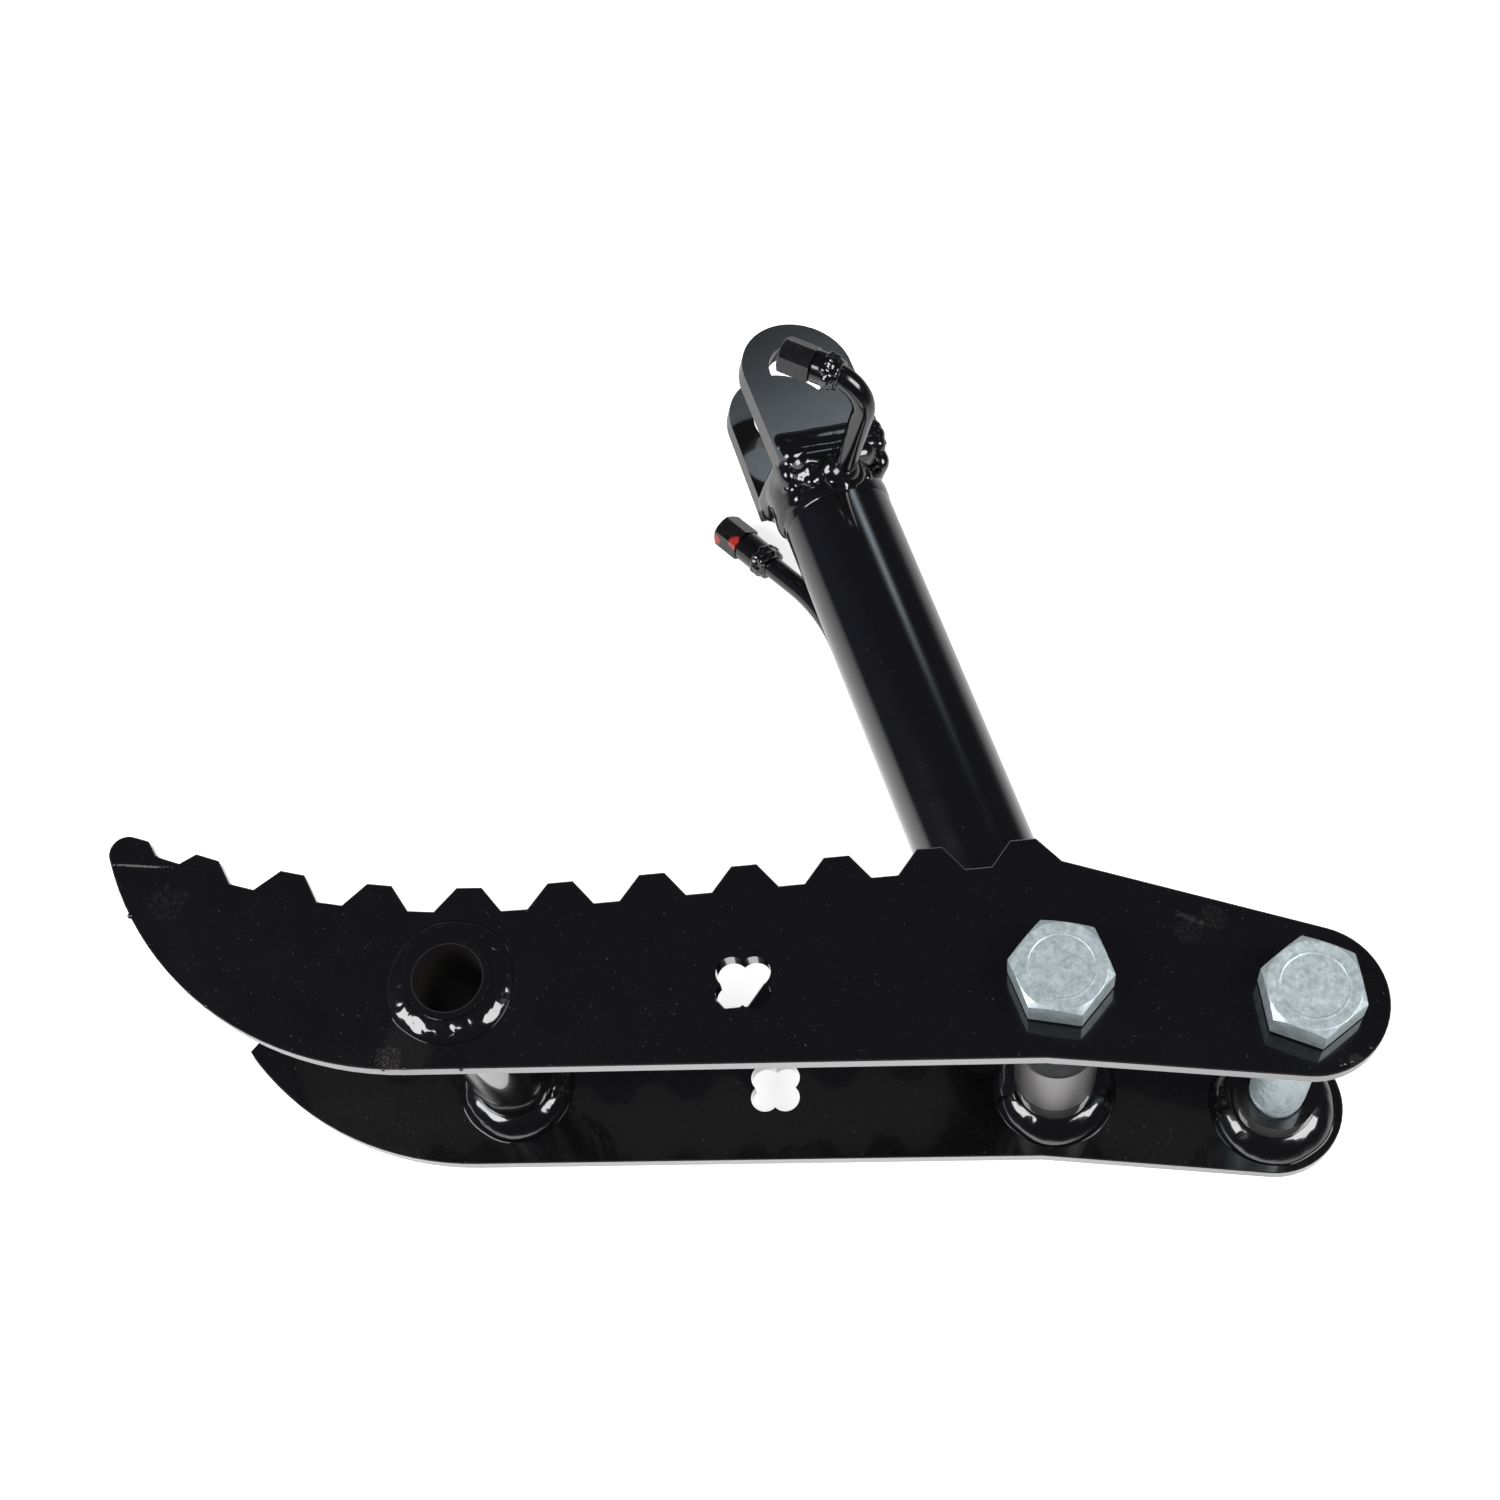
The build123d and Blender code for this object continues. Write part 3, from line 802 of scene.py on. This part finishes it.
for boltName, boltCentre in (("pivot", pivotCentre), ("cylinder", swingCentre)):
    makeBolt(boltName, boltCentre)
    makeNut(boltName, boltCentre)
print("bolts and nuts made")

# welds on the side plates
bossLook = {"radius": 14.5, "out": 8.2, "up": 7.7, "ripples": 21}
for bossName, bossCentre, seed in (("pivot", pivotCentre, 3.1), ("cylinder", swingCentre, 7.7)):
    for side, level in (("Upper", plateUnder), ("Lower", -plateUnder)):
        up = -bossLook["up"] if side == "Upper" else bossLook["up"]
        ringBead(bossName + "Boss" + side + "Bead", upright(bossCentre, level), "frame",
                 bossLook["radius"], bossLook["out"], up, bossLook["ripples"],
                 seed + (4 if side == "Lower" else 0))
tubeLook = {
    "radius": 14.5,
    "out": 7.4,
    "upOutside": 3.3,
    "upInside": 7.7,
    "ripples": (17, 20),  # outside and inside
    "seeds": (12.3, 15.9),
    "outside": {"lump": 0.9, "ripple": 0.15, "tilts": (8, 60), "fine": 0.07, "ringSteps": 260},
}
outsideRipples, insideRipples = tubeLook["ripples"]
outsideSeed, insideSeed = tubeLook["seeds"]
for side, level, upwards in (("Upper", plateTop, 1), ("Lower", -plateTop, -1)):
    ringBead("tube" + side + "OuterBead", upright(tubeCentre, level), "frame", tubeLook["radius"],
             tubeLook["out"], tubeLook["upOutside"] * upwards, outsideRipples,
             outsideSeed + upwards, **tubeLook["outside"])
    ringBead("tube" + side + "InnerBead", upright(tubeCentre, plateUnder * upwards), "frame",
             tubeLook["radius"], tubeLook["out"], -tubeLook["upInside"] * upwards,
             insideRipples, insideSeed + upwards)
print("plate welds made")


# clevis welds at the base end: places are mm along the barrel, beside its axis and above it
def roundBarrel(along, turn, reach, radius):
    # a ball at an angle round the barrel, from its side upwards
    angle = math.radians(turn)
    return lump(along, reach * math.cos(angle), reach * math.sin(angle), radius)


def roundRows(places, turns, reach, radius):
    return [roundBarrel(along, turn, reach, radius) for turn in turns for along in places]


def beadRow(along, up, radius, reach, count, stretch):
    sides = [reach - step * 2 * reach / (count - 1) for step in range(count)]
    return [lump(along, side, up, radius, stretch) for side in sides]


endWeldLook = {
    "profile": [
        (21.6, 233.5), (21.95, 235), (22.2, 237), (22.25, 239), (22.1, 241), (21.6, 243),
        (21.0, 243), (21.0, 233.5), (21.6, 233.5),
    ],
    "steps": 160,
    "radius": 22,
    "wander": 0.12,
    "wanderScale": 90,
}


def makeEndWeld():
    # the weld between tube and end cap, ground nearly flush
    look = endWeldLook
    mesh = bmesh.new()
    spinProfile(mesh, [(radius * mm, along * mm) for radius, along in look["profile"]], look["steps"])
    for vert in mesh.verts:
        wander = look["wander"] * mm * noise.noise(vert.co * look["wanderScale"])
        swell = 1 + wander / (look["radius"] * mm)
        vert.co.x *= swell
        vert.co.y *= swell
    mesh.transform(barrelFrame @ layAlong)
    endWeld = makeObject("barrelEndWeld", mesh, "barrel_side", barrelPaint)
    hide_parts("barrel_weld")


makeEndWeld()

# rows are along, up, ball radius, half length, number of balls, stretch
upperEarLook = {
    "crest": [(261.3, 18.7, 4.0, 19.0, 17, (1.35, 1, 0.95)), (255.8, 18.2, 5.2, 16.6, 15, (1, 1, 1))],
    "corners": [
        (257.0, 18.1, 17.4, 4.0), (254.2, 18.3, 16.2, 4.2), (258.0, -20.4, 18.4, 4.2),
        (254.4, -19.4, 17.8, 4.4), (262.4, -20.0, 18.6, 3.8),
    ],
    "blanket": ((246, 249.5, 253), range(24, 96, 9), 19.3, 4.0),
    "bumps": [
        (254.6, 15.8, 15.6, 4.6), (250.6, 17.6, 13.2, 4.6), (247.6, 14.6, 15.4, 4.3),
        (247.4, 11.0, 18.2, 4.3), (244.6, 8.4, 19.2, 3.8), (246.6, 17.8, 10.8, 4.4),
        (242.8, 11.8, 17.2, 3.4), (250.5, 19.2, 8.2, 4.2),
        (257.6, 17.2, 17.8, 3.4), (258.6, 12.0, 18.6, 3.4), (258.8, 5.2, 18.9, 3.4),
        (256.0, -18.4, 16.2, 4.6), (252.0, -17.0, 15.6, 3.8),
    ],
}


def makeUpperEarWeld():
    look = upperEarLook
    crest = [ball for row in look["crest"] for ball in beadRow(*row)]
    fusedLump("upperEarBead", crest, "barrel_side", smoothing=24, lumpDepth=0.35, lumpScale=130)
    balls = [lump(*spot) for spot in look["corners"]]
    balls += roundRows(*look["blanket"])
    balls += [lump(*spot) for spot in look["bumps"]]
    fusedLump("upperEarWeld", balls, "barrel_side")


makeUpperEarWeld()

lowerEarLook = {
    "rows": [(261.0, -18.4, 4.0, 18.4, 16, (1.35, 1, 0.95)), (256.6, -16.8, 4.4, 18.0, 15, (1, 1, 1))],
    "blanket": ((248, 252.5), range(-150, -20, 10), 19.6, 4.0),
}


def makeLowerEarWeld():
    balls = [ball for row in lowerEarLook["rows"] for ball in beadRow(*row)]
    balls += roundRows(*lowerEarLook["blanket"])
    fusedLump("lowerEarWeld", balls, "barrel_side")


makeLowerEarWeld()

innerEarLook = {
    "sides": ((19.4, 262.0, 258.0), (-19.4, 260.0, 257.0)),  # beside, then along at the ends
    "steps": 11,
    "low": -15,
    "rise": 3,
    "setBack": 3.6,
    "balls": ((0, 4.2), (4.6, 4.4)),  # further back, and ball radius
    "stretch": (1.2, 0.95, 1),
    "rows": [(254.6, 10.8, 4.4, 18.4, 14, (1.2, 1, 0.85)), (254.6, -12.0, 4.4, 18.4, 14, (1.2, 1, 0.85))],
    "blanket": ((240.5, 244.5, 248.5, 252.5), range(-32, 33, 8), 19.6, 4.6),
}


def makeInnerEarWeld():
    # smooth filler between the ears, flush with their sides
    look = innerEarLook
    balls = []
    for side, first, last in look["sides"]:
        for step in range(look["steps"]):
            up = look["low"] + look["rise"] * step
            along = first + (last - first) * (step / (look["steps"] - 1)) - look["setBack"]
            for back, radius in look["balls"]:
                balls.append(lump(along - back, side, up, radius, look["stretch"]))
    balls += [ball for row in look["rows"] for ball in beadRow(*row)]
    balls += roundRows(*look["blanket"])
    fusedLump("innerEarWeld", balls, "barrel_side", smoothing=45, lumpDepth=0.35,
              lumpScale=110, fineDepth=0, finish=barrelPaint)


makeInnerEarWeld()

portLook = {
    "steps": 20,
    "foot": (242.6, 21.0, 6.4, 1.3, 2.8),  # along, up, reach, its wander, ball radius
    "neck": (243, 22.6, 4.4, 1.2, 2.4),  # along, up, reach, wander of the height, ball radius
    "bumps": [
        (244.3, 4.6, 22.0, 3.4), (240.2, 5.0, 20.8, 2.8), (236.9, 5.2, 19.9, 2.3),
        (239.2, -0.6, 21.2, 2.6), (234.4, 1.6, 20.6, 2.2), (234.4, -1.6, 20.6, 2.0),
        (244.4, -6.6, 20.2, 3.0), (241.0, -9.4, 18.8, 2.6, (1.6, 1, 1)), (237.0, 0.8, 20.4, 3.2),
    ],
}


def makePortWeld():
    footAlong, footUp, footReach, footWander, footBall = portLook["foot"]
    neckAlong, neckUp, neckReach, neckWander, neckBall = portLook["neck"]
    balls = []
    for step in range(portLook["steps"]):
        turn = math.tau * step / portLook["steps"]
        forward, sideways = math.cos(turn), math.sin(turn)
        wander = noise.noise(Vector((forward, sideways, 4.4)))
        reach = footReach + footWander * wander
        balls.append(lump(footAlong + reach * forward, reach * sideways, footUp, footBall))
        balls.append(lump(neckAlong + neckReach * forward, neckReach * sideways,
                          neckUp + neckWander * wander, neckBall))
    balls += [lump(*spot) for spot in portLook["bumps"]]
    fusedLump("basePortWeld", balls, "barrel_side", lumpDepth=0.9, smoothing=8)


makePortWeld()

brazeLook = {
    "base": {"start": (-151.51, 251.52, 54.13), "direction": (-0.9036, 0.4207, 0.0805), "seed": 2.3},
    "rod": {"start": (-185.23, 227.14, -43.98), "direction": (-0.6855, 0.7139, -0.1430), "seed": 6.1},
}
brazeRings = {"steps": 18, "rings": ((-1.6, 4.6), (0.4, 5.1), (2.2, 5.3)), "ball": 1.75, "wander": 1.1}


def makeBraze(pipeName, look):
    # lumpy braze where a pipe enters its end fitting
    place = frameAt(Vector(look["start"]) * mm, Vector(look["direction"]))
    balls = []
    for step in range(brazeRings["steps"]):
        turn = math.tau * step / brazeRings["steps"]
        across, down = math.cos(turn), math.sin(turn)
        for level, reach in brazeRings["rings"]:
            wander = noise.noise(Vector((2 * across, 2 * down, look["seed"] + level)))
            spot = Vector((reach * across, reach * down, level + wander)) * mm
            balls.append((place @ spot, brazeRings["ball"] + brazeRings["wander"] * wander, (1, 1, 1)))
    fusedLump(pipeName + "PipeBraze", balls, "barrel_side", voxel=0.3, smoothing=4, lumpDepth=0.5,
              lumpScale=330)


for pipeName, look in brazeLook.items():
    makeBraze(pipeName, look)
print("clevis, port and pipe welds made")

# spatter of molten metal on the upper plate: x, y and radius in mm
spatterLook = {
    "dots": [(-299.7, -17.3, 0.8), (-292.9, -17.2, 0.7), (-273.7, -17.8, 0.8), (-361.9, 5.8, 0.8),
             (-368.4, 10.9, 0.7), (9.0, -21.6, 0.7), (11.3, -20.8, 0.8), (17.6, -16.4, 0.6),
             (7.8, -22.0, 0.5), (-392.2, 38.8, 1.1)],
    "sink": 0.35,
}


def makeSpatter():
    mesh = bmesh.new()
    for x, y, radius in spatterLook["dots"]:
        place = Vector((x * mm, y * mm, plateTop - spatterLook["sink"] * radius * mm))
        bmesh.ops.create_icosphere(mesh, subdivisions=2, radius=radius * mm,
                                   matrix=Matrix.Translation(place))
    makeObject("plateSpatter", mesh, "frame", weldPaint)


makeSpatter()
print("spatter made")

# finishes of the solids that stay in view
slotOf = {row["node"]: row["material_slot"] for row in frame["record"]["subparts"]}
cornerSpot = (-173.3 * mm, 255.1 * mm, 52.5 * mm)  # the far lower corner of the base cap
capFinish = {
    "base_port_cap": capMaterial("baseCapPlastic", [
        ((-166.6 * mm, 262.2 * mm, 61.2 * mm), 0.9), (cornerSpot, 1.3),
    ]),
    "rod_port_cap": capMaterial("rodCapPlastic", [
        ((-207.0 * mm, 240.6 * mm, -46.1 * mm), 2.6), ((-198.7 * mm, 235.3 * mm, -41.0 * mm), 2.8),
    ]),
}
for name, node in nodes.items():
    finish = capFinish.get(name) or nodeFinish.get(name) or slotFinish[slotOf[name]]
    node.data.materials.clear()
    node.data.materials.append(finish)
print("solids finished")

# floor, through the points that the thumb lies on
floorLook = {
    "contacts": [(-0.0784, 0.0083, -0.08575), (-0.2795, 0.0124, -0.06675), (-0.210, 0.253, -0.055)],
    "radius": 0.7,
    "colour": (0.9, 0.9, 0.9),
    "cameraGlow": 0.78,
    "brightSpot": (-0.18, -0.12, -0.08),
    "spotSize": 0.42,
    "glossGlow": 1.30,
    "glossColour": 0.4,
    "falloff": -1.5,  # as under a lamp
    "roughness": 0.9,
    "centreShares": (0.6, 0.3),
    "sink": 0.4 * mm,
    "segments": 96,
}


def floorMaterial():
    # pale to the camera; in reflections its light falls off round a bright spot
    look = floorLook
    material, tree, shader, place = startMaterial("paleFloor")
    path = tree.nodes.new("ShaderNodeLightPath")
    glossy = calculate(tree, "MAXIMUM", path.outputs["Is Glossy Ray"], path.outputs["Is Transmission Ray"])
    away = tree.nodes.new("ShaderNodeVectorMath")
    away.operation = "DISTANCE"
    away.inputs[1].default_value = look["brightSpot"]
    tree.links.new(place, away.inputs[0])
    share = calculate(tree, "DIVIDE", away.outputs["Value"], look["spotSize"])
    spread = calculate(tree, "ADD", calculate(tree, "POWER", share, 2), 1)
    falloff = calculate(tree, "POWER", spread, look["falloff"])
    dimmed = calculate(tree, "MULTIPLY", falloff, look["glossColour"])
    tree.links.new(mixColours(tree, glossy, look["colour"], dimmed), shader.inputs["Base Color"])
    shader.inputs["Roughness"].default_value = look["roughness"]
    shader.inputs["Specular IOR Level"].default_value = 0
    shown = calculate(tree, "MULTIPLY", path.outputs["Is Camera Ray"], look["cameraGlow"])
    mirrored = calculate(tree, "MULTIPLY", glossy, falloff)
    mirrored = calculate(tree, "MULTIPLY", mirrored, look["glossGlow"])
    shader.inputs["Emission Color"].default_value = (1, 1, 1, 1)
    tree.links.new(calculate(tree, "ADD", shown, mirrored), shader.inputs["Emission Strength"])
    return material


def makeFloor():
    look = floorLook
    first, second, third = [Vector(point) for point in look["contacts"]]
    normal = (second - first).cross(third - first).normalized()
    if normal.z < 0:
        normal = -normal
    mesh = bmesh.new()
    bmesh.ops.create_circle(mesh, cap_ends=True, segments=look["segments"], radius=look["radius"])
    toSecond, toThird = look["centreShares"]
    centre = first + (second - first) * toSecond + (third - first) * toThird
    centre -= normal * look["sink"]
    mesh.transform(frameAt(centre, normal))
    data = bpy.data.meshes.new("floor")
    mesh.to_mesh(data)
    mesh.free()
    data.materials.append(floorMaterial())
    floor = bpy.data.objects.new("floor", data)
    bpy.context.scene.collection.objects.link(floor)


makeFloor()

# surroundings: white to the camera, a dim studio above a bright floor in reflections
studioLook = {
    "fill": 0.12,
    "upper": (0.043, 0.043, 0.051),
    "leftGlow": (0.062, 0.065, 0.092),
    "leftReach": (-0.5, -0.9),
    "floorFar": 0.12,
    "horizon": (0.02, -0.10),
    "windowTurn": -24.5,
    "windowRise": 0.492,
    "windowSize": (0.068, 0.034),
    "windowColour": (2.0, 2.28, 2.5),
}


def towards(tree, direction, axis):
    part = tree.nodes.new("ShaderNodeVectorMath")
    part.operation = "DOT_PRODUCT"
    part.inputs[1].default_value = axis
    tree.links.new(direction, part.inputs[0])
    return part.outputs["Value"]


def softWindow(tree, direction):
    # a small bluish lamp behind the thumb, seen as a streak along the barrel
    turn = math.radians(studioLook["windowTurn"])
    across = math.cos(turn) * barrelSide - math.sin(turn) * earNormal
    wide, long = studioLook["windowSize"]
    sideways = calculate(tree, "DIVIDE", towards(tree, direction, across), wide)
    lengthways = towards(tree, direction, alongBarrel)
    lengthways = calculate(tree, "SUBTRACT", lengthways, studioLook["windowRise"])
    lengthways = calculate(tree, "DIVIDE", lengthways, long)
    wideSquare = calculate(tree, "POWER", calculate(tree, "ABSOLUTE", sideways, 0), 2)
    longSquare = calculate(tree, "POWER", calculate(tree, "ABSOLUTE", lengthways, 0), 2)
    squares = calculate(tree, "ADD", wideSquare, longSquare)
    return calculate(tree, "POWER", math.e, calculate(tree, "MULTIPLY", squares, -0.5))


def makeSurroundings():
    world = bpy.data.worlds.new("studio")
    bpy.context.scene.world = world
    world.use_nodes = True
    tree = world.node_tree
    tree.nodes.clear()
    direction = tree.nodes.new("ShaderNodeTexCoord").outputs["Generated"]
    parts = tree.nodes.new("ShaderNodeSeparateXYZ")
    tree.links.new(direction, parts.inputs[0])
    below = remap(tree, parts.outputs[2], *studioLook["horizon"], 0, 1)
    leftward = remap(tree, parts.outputs[0], *studioLook["leftReach"], 0, 1)
    upper = mixColours(tree, leftward, studioLook["upper"], studioLook["leftGlow"])
    upper = mixColours(tree, softWindow(tree, direction), upper, studioLook["windowColour"])
    floorFar = studioLook["floorFar"]
    mirrored = mixColours(tree, below, upper, (floorFar, floorFar, floorFar))
    path = tree.nodes.new("ShaderNodeLightPath")
    seen = calculate(tree, "MAXIMUM", path.outputs["Is Camera Ray"], path.outputs["Is Transmission Ray"])
    fill = studioLook["fill"]
    rest = mixColours(tree, path.outputs["Is Glossy Ray"], (fill, fill, fill), mirrored)
    colour = mixColours(tree, seen, rest, (1.0, 1.0, 1.0))
    background = tree.nodes.new("ShaderNodeBackground")
    tree.links.new(colour, background.inputs["Color"])
    output = tree.nodes.new("ShaderNodeOutputWorld")
    tree.links.new(background.outputs[0], output.inputs["Surface"])


makeSurroundings()

# soft lamps, out of the mirror directions of the plates and the barrel
lampLook = {
    "left": {"from": (-0.81, -0.33, 0.965), "size": (0.7, 0.7), "power": 11.5, "colour": (1, 1, 1)},
    "right": {"from": (0.86, -0.29, 0.94), "size": (0.7, 0.7), "power": 11.5, "colour": (1, 1, 1)},
}
lampAim = Vector((-0.17, 0.06, 0.0))


def makeLamp(name, look):
    data = bpy.data.lights.new(name, "AREA")
    data.shape = "RECTANGLE"
    data.size, data.size_y = look["size"]
    data.energy = look["power"]
    data.color = look["colour"]
    lamp = bpy.data.objects.new(name, data)
    place = lampAim + Vector(look["from"])
    lamp.matrix_world = frameAt(place, place - lampAim)
    bpy.context.scene.collection.objects.link(lamp)


for lampName, look in lampLook.items():
    makeLamp(lampName, look)

# camera
cameraLook = {
    "place": (-0.10381359, -0.2432783, 0.788412),
    "right": (0.99498, 0.01138, -0.09946),
    "up": (0.03142, 0.90779, 0.41825),
    "lens": 56.327,
    "sensor": 36,
    "nearClip": 0.01,
}


def makeCamera():
    data = bpy.data.cameras.new("camera")
    data.lens = cameraLook["lens"]
    data.sensor_width = cameraLook["sensor"]
    data.sensor_fit = "HORIZONTAL"
    data.clip_start = cameraLook["nearClip"]
    camera = bpy.data.objects.new("camera", data)
    right = Vector(cameraLook["right"]).normalized()
    up = Vector(cameraLook["up"]).normalized()
    turn = Matrix((right, up, right.cross(up))).transposed().to_4x4()
    turn.translation = cameraLook["place"]
    camera.matrix_world = turn
    bpy.context.scene.collection.objects.link(camera)
    bpy.context.scene.camera = camera


makeCamera()
bpy.context.scene.view_settings.view_transform = "Standard"
print("studio made")
